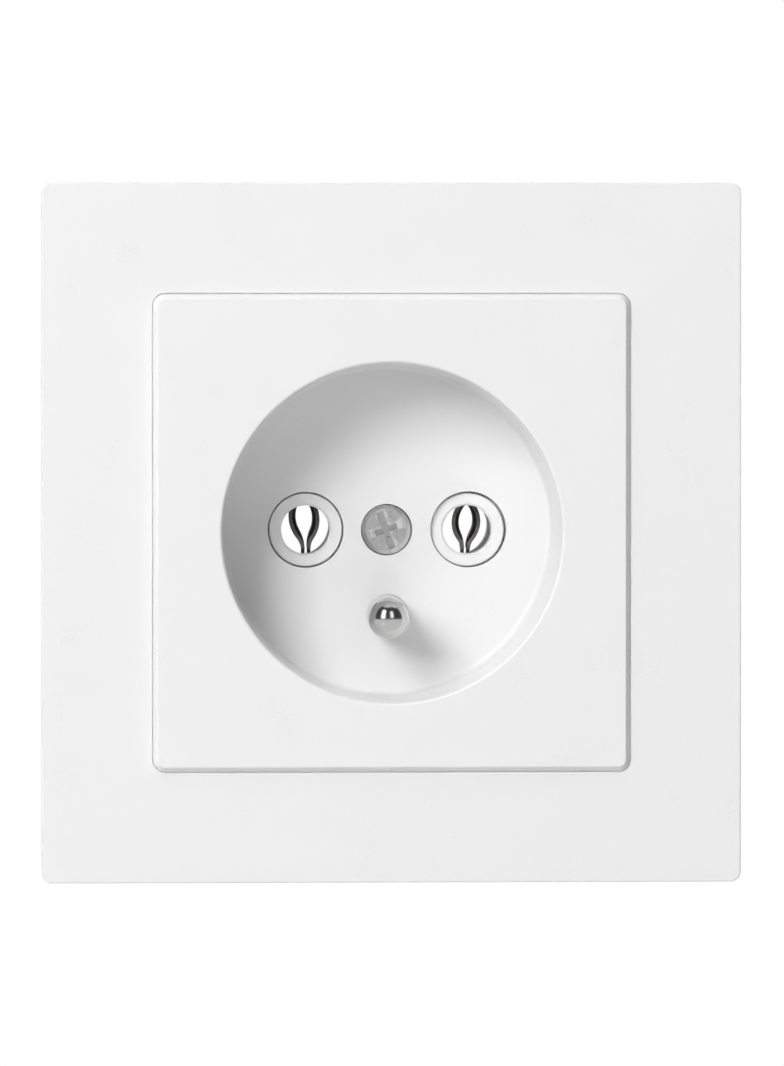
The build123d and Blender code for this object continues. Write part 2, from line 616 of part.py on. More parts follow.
def make_terminal_screw(x, top):
    """A terminal screw along Z, its slotted head facing down."""
    head_top = top - CAGE_HEIGHT - TERMINAL_HEAD_GAP
    head_low = head_top - TERMINAL_HEAD_HEIGHT
    crown = TERMINAL_HEAD_HEIGHT * 0.2
    profile = [(0, pad_low(top)), (TERMINAL_SCREW_R * 0.7, pad_low(top)),
               (TERMINAL_SCREW_R, pad_low(top) - TERMINAL_SCREW_R * 0.3), (TERMINAL_SCREW_R, head_top),
               (TERMINAL_HEAD_R, head_top), (TERMINAL_HEAD_R, head_low + crown),
               (TERMINAL_HEAD_R - crown, head_low), (0, head_low)]
    screw = revolve(Plane.XZ * make_face(Polyline(*profile, close=True)), Axis.Z)
    reach = TERMINAL_HEAD_R + 1
    screw -= block(
        (-reach, reach), (-TERMINAL_SLOT / 2, TERMINAL_SLOT / 2), (head_low, head_low + TERMINAL_SLOT_DEPTH)
    )
    return (Pos(x, CAGE_MID_Y, 0) * screw).solid()


def make_earth_pin():
    """The earth pin: a round nose, a shoulder that seats on the insert, and a riveted tail."""
    nose = PIN_TIP_Y + PIN_R
    bend = PIN_R * math.sqrt(0.5)
    tail = EARTH_BAR_BACK + PIN_RIVET_HEAD_HEIGHT
    neck_y = FLOOR_Y - PIN_NECK_GAP
    outline = [
        ThreePointArc((0, PIN_TIP_Y), (bend, nose - bend), (PIN_R, nose)),
        Polyline(
            (PIN_R, nose), (PIN_R, neck_y), (PIN_NECK_R, neck_y), (PIN_NECK_R, PIN_SEAT_Y),
            (PIN_FLANGE_R, PIN_SEAT_Y), (PIN_FLANGE_R, EARTH_BAR_Y), (PIN_RIVET_R, EARTH_BAR_Y),
            (PIN_RIVET_R, EARTH_BAR_BACK), (PIN_RIVET_HEAD_R, EARTH_BAR_BACK),
            (PIN_RIVET_HEAD_R * 0.7, tail), (0, tail), (0, PIN_TIP_Y),
        ),
    ]
    return Pos(0, 0, PIN_Z) * revolve(make_face(outline), Axis.Y)


def make_earth_bar():
    """The bar from the pin to the earth terminal: a flat strip with its lower end bent back."""
    half = EARTH_BAR_WIDTH / 2
    tongue_top = -EARTH_CAGE_DROP - CAGE_TOP - TONGUE_GAP
    low = tongue_top - EARTH_BAR_THICKNESS
    bar = block((-half, half), (EARTH_BAR_Y, EARTH_BAR_BACK), (low, PIN_Z + half))
    bar += block((-TONGUE_WIDTH / 2, TONGUE_WIDTH / 2), (EARTH_BAR_Y, TONGUE_END_Y), (low, tongue_top))
    corner = bar.edges().filter_by(Axis.X).group_by(Axis.Z)[0].sort_by(Axis.Y)[0]
    bar = fillet(corner, EARTH_BEND_R)
    return bar - round_bar(PIN_RIVET_R + SLIDE_GAP, EARTH_BAR_Y, EARTH_BAR_BACK, z=PIN_Z)


def make_pieces():
    """Every separate piece of the socket, by name."""
    pieces = {
        "cover_frame": make_cover_frame(),
        "centre_plate": make_centre_plate(),
        "cover_screw": make_cover_screw(),
        "mounting_strap": make_mounting_strap(),
        "strap_rivets": make_strap_rivets(),
        "insert_body": make_insert_body(),
        "back_cover": make_back_cover(),
        "back_cover_screws": make_back_cover_screws(),
        "thread_bush": make_thread_bush(),
        "contact_left": make_contact(-1, LEFT_LEAF),
        "contact_right": make_contact(1, RIGHT_LEAF),
        "earth_pin": make_earth_pin(),
        "earth_bar": make_earth_bar(),
        "terminal_screws": Compound([make_terminal_screw(x, top) for name, x, top in terminals()]),
    }
    for name, x, top in terminals():
        pieces["terminal_cage_" + name] = make_terminal_cage(x, top)
        pieces["clamp_pad_" + name] = make_clamp_pad(x, top)
    return pieces


os.makedirs("parts", exist_ok=True)
for piece_name, piece in make_pieces().items():
    export_step(piece, "parts/" + piece_name + ".step")
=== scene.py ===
"""Looks of a flush wall socket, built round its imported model.

The two covers, the cover screw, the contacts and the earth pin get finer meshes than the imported
solids. Every other solid keeps its mesh and gets a finish of its own. Sizes are millimetres, and
a mesh becomes metres when it is finished. X runs to the right, Y into the wall and Z up.
"""
from __future__ import annotations

import logging
import math
from dataclasses import dataclass, field
from enum import Enum
from typing import Iterable, Sequence

import bmesh
import bpy
from bmesh.types import BMEdge, BMesh
from mathutils import Matrix, Vector


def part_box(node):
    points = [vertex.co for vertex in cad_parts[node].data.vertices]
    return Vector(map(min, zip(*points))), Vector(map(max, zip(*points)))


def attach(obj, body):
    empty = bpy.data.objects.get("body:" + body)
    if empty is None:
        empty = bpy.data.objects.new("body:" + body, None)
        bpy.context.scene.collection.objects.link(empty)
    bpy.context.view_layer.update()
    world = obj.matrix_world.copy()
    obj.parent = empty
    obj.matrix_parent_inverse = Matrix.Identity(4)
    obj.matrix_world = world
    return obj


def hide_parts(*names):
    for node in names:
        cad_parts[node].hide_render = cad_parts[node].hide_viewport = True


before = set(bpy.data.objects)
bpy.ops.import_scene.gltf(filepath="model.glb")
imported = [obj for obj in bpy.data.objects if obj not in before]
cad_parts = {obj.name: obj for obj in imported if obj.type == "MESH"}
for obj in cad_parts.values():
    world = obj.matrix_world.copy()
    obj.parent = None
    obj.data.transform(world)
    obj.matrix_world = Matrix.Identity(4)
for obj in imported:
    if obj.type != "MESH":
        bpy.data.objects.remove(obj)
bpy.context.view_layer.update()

log = logging.getLogger("socket")

MM = 0.001
ROUND_STEPS = 128
CORNER_STEPS = 8
SIDE_CUTS = ROUND_STEPS // 4 - CORNER_STEPS - 1
SET_OFF = 64.0
WELD = 1e-4
BEVEL_ANGLE = 40.0
WHITE = (1.0, 1.0, 1.0, 1.0)
BODY = "root"

Colour = tuple[float, float, float]
Point = tuple[float, float]


class Side(Enum):
    """Which of the two line contacts, by the sign of its X."""

    LEFT = -1
    RIGHT = 1


class Lay(Enum):
    """How far a metal's grain is stretched along each axis."""

    EVEN = (1.0, 1.0, 1.0)
    LEVEL = (0.08, 1.0, 1.0)
    DEEP = (1.0, 0.08, 1.0)


# Finishes


class Wiring:
    """Adds shader nodes to a tree and links them."""

    def __init__(self, tree: bpy.types.NodeTree) -> None:
        """Start from a tree with nothing in it.

        Args:
            tree: the node tree to fill.
        """
        self.tree = tree
        tree.nodes.clear()

    def add(self, kind: str, feeds: dict[str | int, object] | None = None, **settings: object) -> bpy.types.Node:
        """Add one node.

        Args:
            kind: the node's type.
            feeds: a value or an output socket for each input, by name or number.
            settings: the node's own properties.

        Returns:
            The new node.
        """
        node = self.tree.nodes.new(kind)
        for key, value in settings.items():
            setattr(node, key, value)
        for key, value in (feeds or {}).items():
            if isinstance(value, bpy.types.NodeSocket):
                self.tree.links.new(value, node.inputs[key])
            else:
                node.inputs[key].default_value = value
        return node

    def math(self, operation: str, first: object, second: object = 0.0, third: object = 0.0) -> bpy.types.NodeSocket:
        """Work out one value.

        Args:
            operation: the Math node's operation.
            first: a value or a socket.
            second: a value or a socket.
            third: a value or a socket, for MULTIPLY_ADD.

        Returns:
            The socket with the result.
        """
        return self.add("ShaderNodeMath", {0: first, 1: second, 2: third}, operation=operation).outputs[0]


class Effect:
    """A shader node group with named inputs and outputs, built once."""

    name = "effect"
    inputs: dict[str, str] = {}
    outputs: dict[str, str] = {}

    @classmethod
    def tree(cls) -> bpy.types.NodeTree:
        """The group's node tree, made on first use.

        Returns:
            The tree.
        """
        found = bpy.data.node_groups.get(cls.name)
        if found:
            return found
        tree = bpy.data.node_groups.new(cls.name, "ShaderNodeTree")
        for in_out, sockets in (("INPUT", cls.inputs), ("OUTPUT", cls.outputs)):
            for name, kind in sockets.items():
                tree.interface.new_socket(name, in_out=in_out, socket_type=kind)
        wiring = Wiring(tree)
        source = wiring.add("NodeGroupInput")
        results = cls.wire(wiring, source.outputs)
        wiring.add("NodeGroupOutput", results)
        return tree

    @classmethod
    def wire(cls, wiring: Wiring, given: bpy.types.NodeOutputs) -> dict[str | int, object]:
        """Wire the group.

        Args:
            wiring: the group's tree.
            given: the group's inputs.

        Returns:
            A socket for each output's name.
        """
        raise NotImplementedError

    @classmethod
    def place(cls, wiring: Wiring, feeds: dict[str | int, object]) -> bpy.types.NodeOutputs:
        """Put the group in a material.

        Args:
            wiring: the material's tree.
            feeds: a value or socket for each input.

        Returns:
            The outputs of the group's node.
        """
        return wiring.add("ShaderNodeGroup", feeds, node_tree=cls.tree()).outputs


class SurfaceGrain(Effect):
    """Fine grain over broader patches, for mouldings and for rolled, drawn and plated metal."""

    name = "surface_grain"
    inputs = {
        "Vector": "NodeSocketVector",
        "Grains": "NodeSocketFloat",
        "Patches": "NodeSocketFloat",
        "Roughness": "NodeSocketFloat",
        "Roughness Spread": "NodeSocketFloat",
        "Shade Spread": "NodeSocketFloat",
    }
    outputs = {"Height": "NodeSocketFloat", "Roughness": "NodeSocketFloat", "Shade": "NodeSocketFloat"}
    fine_detail = 3.0
    broad_detail = 4.0
    contrast = 4.0

    @classmethod
    def wire(cls, wiring: Wiring, given: bpy.types.NodeOutputs) -> dict[str | int, object]:
        """Wire the grain from two noises of different size.

        Args:
            wiring: the group's tree.
            given: the group's inputs.

        Returns:
            The grain's height, the roughness and the colour's shade.
        """
        fine, broad = (
            wiring.add("ShaderNodeTexNoise", {"Vector": given["Vector"], "Scale": given[scale], "Detail": detail})
            for scale, detail in (("Grains", cls.fine_detail), ("Patches", cls.broad_detail))
        )
        mixed = wiring.math("MULTIPLY_ADD", fine.outputs[0], 0.5, wiring.math("MULTIPLY", broad.outputs[0], 0.5))
        centred = wiring.math("MULTIPLY_ADD", mixed, cls.contrast, -cls.contrast / 2)
        roughness = wiring.math("MULTIPLY_ADD", centred, given["Roughness Spread"], given["Roughness"])
        shade = wiring.math("MULTIPLY_ADD", centred, given["Shade Spread"], 1.0)
        return {"Height": fine.outputs[0], "Roughness": roughness, "Shade": shade}


class TurningRings(Effect):
    """The rings that a lathe leaves round an axis along Y."""

    name = "turning_rings"
    inputs = {"Vector": "NodeSocketVector", "Pitch": "NodeSocketFloat", "Unevenness": "NodeSocketFloat"}
    outputs = {"Height": "NodeSocketFloat"}
    wobble_scale = 900.0
    wobble_detail = 2.0
    unevenness = 0.25

    @classmethod
    def wire(cls, wiring: Wiring, given: bpy.types.NodeOutputs) -> dict[str | int, object]:
        """Wire the rings from the distance to the axis, with a little noise on it.

        Args:
            wiring: the group's tree.
            given: the group's inputs.

        Returns:
            The rings' height.
        """
        parts = wiring.add("ShaderNodeSeparateXYZ", {0: given["Vector"]}).outputs
        across = wiring.math("MULTIPLY_ADD", parts[2], parts[2], wiring.math("MULTIPLY", parts[0], parts[0]))
        radius = wiring.math("SQRT", across)
        turns = wiring.math("DIVIDE", radius, given["Pitch"])
        noise = wiring.add("ShaderNodeTexNoise", {
            "Vector": given["Vector"], "Scale": cls.wobble_scale, "Detail": cls.wobble_detail,
        })
        shifted = wiring.math("MULTIPLY_ADD", noise.outputs[0], given["Unevenness"], turns)
        return {"Height": wiring.math("SINE", wiring.math("MULTIPLY", shifted, math.tau))}


@dataclass(frozen=True)
class Finish:
    """A finish with fine grain, and rings where the piece is turned.

    Attributes:
        name: the material's name, which is also its slot in the record.
        colour: its colour.
        metallic: 1 for bare metal.
        roughness: how dull it is.
        roughness_spread: how much that changes over the surface.
        shade_spread: how much the colour's shade changes.
        grain: the size of one grain, in mm.
        patch: the size of one broader patch, in mm.
        grain_depth: how deep the grain is, in mm.
        lay: which way the grain is stretched.
        ring_pitch: the distance between turning rings, in mm, or 0 for none.
        ring_depth: how deep the rings are, in mm.
        ior: the index of refraction.
    """

    name: str
    colour: Colour
    metallic: float = 0.0
    roughness: float = 0.45
    roughness_spread: float = 0.05
    shade_spread: float = 0.01
    grain: float = 0.2
    patch: float = 6.0
    grain_depth: float = 0.002
    lay: Lay = Lay.EVEN
    ring_pitch: float = 0.0
    ring_depth: float = 0.0
    ior: float = 1.5

    def material(self, label: str = "") -> bpy.types.Material:
        """Make the finish as a material.

        Args:
            label: an ending for the name, where one slot has more than one material.

        Returns:
            The material.
        """
        made = bpy.data.materials.new(self.name + "_finish" + label)
        made.use_nodes = True
        wiring = Wiring(made.node_tree)
        place = wiring.add("ShaderNodeTexCoord").outputs["Object"]
        stretched = wiring.add("ShaderNodeMapping", {"Vector": place, "Scale": self.lay.value}).outputs[0]
        grain = SurfaceGrain.place(wiring, {
            "Vector": stretched,
            "Grains": 1 / (self.grain * MM),
            "Patches": 1 / (self.patch * MM),
            "Roughness": self.roughness,
            "Roughness Spread": self.roughness_spread,
            "Shade Spread": self.shade_spread,
        })
        colour = wiring.add(
            "ShaderNodeVectorMath", {0: self.colour, 3: grain["Shade"]}, operation="SCALE"
        ).outputs[0]
        bump = wiring.add("ShaderNodeBump", {"Height": grain["Height"], "Distance": self.grain_depth * MM})
        if self.ring_pitch:
            rings = TurningRings.place(wiring, {
                "Vector": place, "Pitch": self.ring_pitch * MM, "Unevenness": TurningRings.unevenness,
            })
            bump = wiring.add("ShaderNodeBump", {
                "Height": rings["Height"], "Distance": self.ring_depth * MM, "Normal": bump.outputs[0],
            })
        shader = wiring.add("ShaderNodeBsdfPrincipled", {
            "Base Color": colour,
            "Metallic": self.metallic,
            "Roughness": grain["Roughness"],
            "IOR": self.ior,
            "Normal": bump.outputs[0],
        })
        wiring.add("ShaderNodeOutputMaterial", {"Surface": shader.outputs[0]})
        return made


COVER_PLASTIC = Finish("cover_plastic", (0.86, 0.86, 0.86), roughness=0.3, grain=0.22, grain_depth=0.002)
INSERT_PLASTIC = Finish(
    "insert_plastic", (0.87, 0.87, 0.867), roughness=0.38, grain=0.5, patch=9.0, grain_depth=0.002, shade_spread=0.015
)
STRAP_STEEL = Finish(
    "strap_steel", (0.62, 0.63, 0.64), metallic=1.0, roughness=0.36, roughness_spread=0.12, shade_spread=0.10,
    grain=0.12, patch=3.5, grain_depth=0.003, lay=Lay.LEVEL,
)
SCREW_STEEL = Finish(
    "screw_steel", (0.88, 0.88, 0.88), metallic=1.0, roughness=0.31, roughness_spread=0.08, shade_spread=0.08,
    grain=0.1, patch=0.6, ring_pitch=0.24, ring_depth=0.002,
)
RIVET_STEEL = Finish(
    "rivet_steel", (0.66, 0.66, 0.66), metallic=1.0, roughness=0.34, roughness_spread=0.1, shade_spread=0.08,
    grain=0.15, patch=1.2,
)
PIN_NICKEL = Finish(
    "pin_nickel", (0.68, 0.68, 0.675), metallic=1.0, roughness=0.17, roughness_spread=0.03, shade_spread=0.03,
    grain=0.08, patch=1.5, grain_depth=0.0004, lay=Lay.DEEP,
)
# The contacts' colour is far darker than bronze: painted shade, standing in for the dark deep in the contact bores.
SHADE_DARKENED_CONTACT_BRONZE = Finish(
    "contact_bronze", (0.28, 0.27, 0.26), metallic=1.0, roughness=0.45, roughness_spread=0.1, shade_spread=0.2,
    grain=0.12, patch=0.9, lay=Lay.DEEP,
)
TERMINAL_BRASS = Finish(
    "terminal_brass", (0.76, 0.66, 0.42), metallic=1.0, roughness=0.3, roughness_spread=0.1, shade_spread=0.08,
    grain=0.12, patch=2.0, lay=Lay.DEEP,
)


# Shapes


def arc(centre: Point, radius: float, start: float, end: float, steps: int) -> list[Point]:
    """Points along an arc.

    Args:
        centre: the arc's centre.
        radius: its radius.
        start: its first angle, in degrees.
        end: its last angle, in degrees.
        steps: the number of its parts.

    Returns:
        The points, one more than the steps.
    """
    turns = [math.radians(start + (end - start) * step / steps) for step in range(steps + 1)]
    return [(centre[0] + radius * math.cos(turn), centre[1] + radius * math.sin(turn)) for turn in turns]


class Shape:
    """A mesh in the making, in millimetres."""

    def __init__(self) -> None:
        """Start with nothing."""
        self.mesh: BMesh = bmesh.new()

    def circle(self, radius: float, depth: float, x: float = 0.0, z: float = 0.0) -> list[BMEdge]:
        """Draw a circle across the socket.

        Args:
            radius: its radius.
            depth: its Y.
            x: its centre's X.
            z: its centre's Z.

        Returns:
            Its edges.
        """
        place = Matrix.Translation((x, depth, z)) @ Matrix.Rotation(math.pi / 2, 4, "X")
        before = set(self.mesh.edges)
        bmesh.ops.create_circle(self.mesh, cap_ends=False, radius=radius, segments=ROUND_STEPS, matrix=place)
        return [edge for edge in self.mesh.edges if edge not in before]

    def square(self, half: float, corner: float, depth: float) -> list[BMEdge]:
        """Draw a square with round corners across the socket.

        Args:
            half: half its width.
            corner: its corners' radius.
            depth: its Y.

        Returns:
            Its edges.
        """
        place = Matrix.Translation((0, depth, 0)) @ Matrix.Rotation(math.pi / 2, 4, "X")
        place @= Matrix.Rotation(math.pi / 4, 4, "Z")
        before = set(self.mesh.edges)
        made = bmesh.ops.create_circle(
            self.mesh, cap_ends=False, radius=half * math.sqrt(2), segments=4, matrix=place
        )
        bmesh.ops.bevel(
            self.mesh, geom=made["verts"], offset=corner, offset_type="OFFSET", segments=CORNER_STEPS,
            profile=0.5, affect="VERTICES", material=-1,
        )
        ring = [edge for edge in self.mesh.edges if edge not in before]
        sides = sorted(ring, key=BMEdge.calc_length)[-4:]
        bmesh.ops.subdivide_edges(self.mesh, edges=sides, cuts=SIDE_CUTS)
        return [edge for edge in self.mesh.edges if edge not in before]

    def bridge(self, rings: Sequence[list[BMEdge]], closed: bool = False) -> None:
        """Join rings, one to the next.

        The next ring is set off along Y while the two are joined, because the operator can't tell
        which way round two rings in one plane go.

        Args:
            rings: the rings in order.
            closed: whether the last is joined to the first.
        """
        after = list(rings[1:]) + ([rings[0]] if closed else [])
        for ring, following in zip(rings, after):
            verts = list({vert for edge in following for vert in edge.verts})
            bmesh.ops.translate(self.mesh, vec=(0, SET_OFF, 0), verts=verts)
            bmesh.ops.bridge_loops(self.mesh, edges=ring + following)
            bmesh.ops.translate(self.mesh, vec=(0, -SET_OFF, 0), verts=verts)

    def fill(self, rings: Iterable[list[BMEdge]]) -> None:
        """Fill the flat area between an outer ring and the rings inside it.

        Args:
            rings: the outer ring and the others.
        """
        edges = [edge for ring in rings for edge in ring]
        bmesh.ops.triangle_fill(self.mesh, use_beauty=True, use_dissolve=False, edges=edges)

    def block(self, x: Point, y: Point, z: Point) -> None:
        """Add a block between two values on each axis.

        Args:
            x: its two values of X.
            y: its two values of Y.
            z: its two values of Z.
        """
        spans = [Vector(pair) for pair in (x, y, z)]
        middle = Matrix.Translation([(span[0] + span[1]) / 2 for span in spans])
        sizes = Matrix.Diagonal([abs(span[1] - span[0]) for span in spans] + [1.0])
        bmesh.ops.create_cube(self.mesh, size=1.0, matrix=middle @ sizes)

    def turned(self, profile: Sequence[Point], steps: int, z: float = 0.0) -> None:
        """Spin a profile about an axis along Y.

        Args:
            profile: its radius and depth at each point. It starts and ends on the axis.
            steps: the number of steps round it.
            z: the axis's Z.
        """
        verts = [self.mesh.verts.new((radius, depth, z)) for radius, depth in profile]
        edges = [self.mesh.edges.new(pair) for pair in zip(verts, verts[1:])]
        bmesh.ops.spin(
            self.mesh, geom=verts + edges, cent=(0, 0, z), axis=(0, 1, 0), angle=math.tau,
            steps=steps, use_merge=True,
        )

    def turn_copies(self, count: int, x: Point, y: Point, z: Point) -> None:
        """Add blocks round the Y axis.

        Args:
            count: the number of blocks.
            x: the first block's two values of X.
            y: its two values of Y.
            z: its two values of Z.
        """
        for index in range(count):
            before = set(self.mesh.verts)
            self.block(x, y, z)
            turn = Matrix.Rotation(math.tau * index / count, 3, "Y")
            made = [vert for vert in self.mesh.verts if vert not in before]
            bmesh.ops.rotate(self.mesh, verts=made, cent=(0, 0, 0), matrix=turn)

    def to_mesh(self, name: str, smooth_below: float = 32.0) -> bpy.types.Mesh:
        """Close the mesh and turn it into metres.

        Args:
            name: the mesh's name.
            smooth_below: edges sharper than this angle, in degrees, stay sharp, and 0 leaves all flat.

        Returns:
            The finished mesh.
        """
        bmesh.ops.remove_doubles(self.mesh, verts=self.mesh.verts, dist=WELD)
        bmesh.ops.recalc_face_normals(self.mesh, faces=self.mesh.faces)
        bmesh.ops.scale(self.mesh, vec=(MM, MM, MM), verts=self.mesh.verts)
        data = bpy.data.meshes.new(name)
        self.mesh.to_mesh(data)
        self.mesh.free()
        if smooth_below:
            data.shade_smooth()
            data.set_sharp_from_angle(angle=math.radians(smooth_below))
        return data


def loose_object(name: str, data: bpy.types.Mesh) -> bpy.types.Object:
    """Put a mesh in the scene as it is.

    Args:
        name: the object's name.
        data: its mesh.

    Returns:
        The object.
    """
    made = bpy.data.objects.new(name, data)
    bpy.context.scene.collection.objects.link(made)
    return made


def show(name: str, data: bpy.types.Mesh, material: bpy.types.Material, slot: str, *nodes: str,
         bevel: float = 0.0, bevel_steps: int = 2) -> bpy.types.Object:
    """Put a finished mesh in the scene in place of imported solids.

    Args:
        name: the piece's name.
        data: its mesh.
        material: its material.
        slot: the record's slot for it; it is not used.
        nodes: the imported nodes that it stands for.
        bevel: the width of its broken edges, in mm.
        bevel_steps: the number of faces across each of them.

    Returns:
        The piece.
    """
    piece = loose_object(name, data)
    data.materials.append(material)
    if bevel:
        edge = piece.modifiers.new("broken_edges", "BEVEL")
        edge.width = bevel * MM
        edge.segments = bevel_steps
        edge.limit_method = "ANGLE"
        edge.angle_limit = math.radians(BEVEL_ANGLE)
    even = piece.modifiers.new("even_shading", "WEIGHTED_NORMAL")
    even.keep_sharp = True
    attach(piece, BODY)
    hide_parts(*nodes)
    log.info("%s: %d faces, for %s", name, len(data.polygons), ", ".join(nodes))
    return piece


def box_mm(node: str) -> tuple[Vector, Vector]:
    """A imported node's lowest and highest corners, in millimetres.

    Args:
        node: the node's name.

    Returns:
        The two corners.
    """
    low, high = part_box(node)
    return low / MM, high / MM


@dataclass
class CoverFrame:
    """The square outer frame: one moulded shell with a collar and a ledge for the plate."""

    corner: float = 1.2
    edge: float = 0.18
    edge_steps: int = 4
    opening: float = 27.73
    opening_corner: float = 1.51
    opening_edge: float = 0.13
    ledge: float = 1.6
    ledge_depth: float = -4.0
    collar_end: float = -1.0
    collar: float = 2.3
    wall: float = 2.4
    face: float = 2.2
    rib: float = 1.0
    rib_offset: float = 17.0
    rib_clear: float = 0.2

    def build(self) -> bpy.types.Object:
        """Build the frame as one closed band of square rings, with its ribs.

        Returns:
            The piece.
        """
        low, high = box_mm("cover_frame")
        half, front, rim = high.x, low.y, high.y
        back = front + self.face
        inner = half - self.wall
        profile = [(half, self.corner, rim)]
        for out, depth in arc((half - self.edge, front + self.edge), self.edge, 0, -90, self.edge_steps):
            profile.append((out, self.corner - (half - out), depth))
        centre = (self.opening + self.opening_edge, front + self.opening_edge)
        for out, depth in arc(centre, self.opening_edge, 270, 180, self.edge_steps):
            profile.append((out, self.opening_corner + out - self.opening, depth))
        profile += [
            (self.opening, self.opening_corner, self.ledge_depth),
            (self.opening - self.ledge, self.opening_corner, self.ledge_depth),
            (self.opening - self.ledge, self.opening_corner, self.collar_end),
            (self.opening + self.collar, self.opening_corner, self.collar_end),
            (self.opening + self.collar, self.opening_corner, back),
            (inner, self.edge, back),
            (inner, self.edge, rim),
        ]
        shape = Shape()
        shape.bridge([shape.square(*ring) for ring in profile], closed=True)
        for offset in (-self.rib_offset, self.rib_offset):
            shape.turn_copies(
                4, (self.opening + self.collar - self.rib, inner + self.rib),
                (back - self.rib, self.collar_end - self.rib_clear), (offset - self.rib / 2, offset + self.rib / 2),
            )
        data = shape.to_mesh("cover_frame_moulding")
        return show("cover_frame_moulding", data, COVER_PLASTIC.material("_frame"), "cover_plastic", "cover_frame")


@dataclass
class CentrePlate:
    """The centre plate: a flat face with sloping sides, a deep round recess and its floor."""

    corner: float = 1.5
    slope: float = 0.65
    slope_depth: float = 1.2
    edge: float = 0.05
    skirt: float = 1.6
    skirt_end: float = -4.0
    inner_corner: float = 0.2
    face: float = 1.8
    recess: float = 19.7
    draft: float = 0.4
    lip: float = 0.35
    lip_steps: int = 5
    recess_depth: float = 15.4
    cup_wall: float = 1.5
    floor: float = 1.8
    well: float = 3.02
    well_depth: float = 3.1
    boss: float = 3.95
    boss_length: float = 2.8
    screw_hole: float = 1.7
    contact_x: float = 9.5
    contact_hole: float = 4.46
    right_hole_shift: Point = (0.09, 0.04)
    pin_z: float = -10.0
    pin_hole: float = 2.42
    pin_shift: float = 0.08
    root: float = 0.6
    root_steps: int = 5
    ribs: int = 16
    rib: float = 1.0

    def build(self) -> bpy.types.Object:
        """Build the plate from rings, filling its floor round the holes.

        Returns:
            The piece.
        """
        low, high = box_mm("centre_plate")
        half, front = high.x, low.y
        back = front + self.face
        floor, floor_back = front + self.recess_depth, front + self.recess_depth + self.floor
        floor_r = self.recess - self.draft
        shape = Shape()
        lip_centre = (self.recess + self.lip, front + self.lip)
        root_centre = (floor_r - self.root, floor - self.root)
        cup = [shape.circle(r, y) for r, y in arc(root_centre, self.root, 90, 0, self.root_steps)]
        cup += [shape.circle(r, y) for r, y in arc(lip_centre, self.lip, 180, 270, self.lip_steps)]
        top = half - self.slope
        rim = [
            shape.square(top - self.edge, self.corner - self.slope - self.edge, front),
            shape.square(top + self.edge * self.slope / self.slope_depth, self.corner - self.slope, front + self.edge),
            shape.square(half, self.corner, front + self.slope_depth),
            shape.square(half, self.corner, self.skirt_end),
            shape.square(half - self.skirt, self.inner_corner, self.skirt_end),
            shape.square(half - self.skirt, self.inner_corner, back),
        ]
        outside = [
            shape.circle(self.recess + self.cup_wall, back),
            shape.circle(floor_r + self.cup_wall, floor_back),
        ]
        shape.bridge(cup)
        shape.bridge([cup[-1], rim[0]])
        shape.bridge(rim)
        shape.bridge([rim[-1], outside[0]])
        shape.bridge(outside)
        places = [
            (-self.contact_x, 0.0, self.contact_hole),
            (self.contact_x + self.right_hole_shift[0], self.right_hole_shift[1], self.contact_hole),
            (self.pin_shift, self.pin_z, self.pin_hole),
        ]
        fronts = [shape.circle(r, floor, x, z) for x, z, r in places]
        backs = [shape.circle(r, floor_back, x, z) for x, z, r in places]
        for pair in zip(fronts, backs):
            shape.bridge(pair)
        seat, boss_end = floor + self.well_depth, floor_back + self.boss_length
        well = [
            shape.circle(self.well, floor), shape.circle(self.well, seat), shape.circle(self.screw_hole, seat),
            shape.circle(self.screw_hole, boss_end), shape.circle(self.boss, boss_end),
            shape.circle(self.boss, floor_back),
        ]
        shape.bridge(well)
        shape.fill([cup[0], well[0]] + fronts)
        shape.fill([outside[-1], well[-1]] + backs)
        shape.turn_copies(
            self.ribs, (self.recess + self.cup_wall / 2, half - self.skirt),
            (back - self.rib, self.skirt_end - self.rib), (-self.rib / 2, self.rib / 2),
        )
        data = shape.to_mesh("centre_plate_moulding", smooth_below=25.0)
        return show("centre_plate_moulding", data, COVER_PLASTIC.material("_plate"), "cover_plastic", "centre_plate")


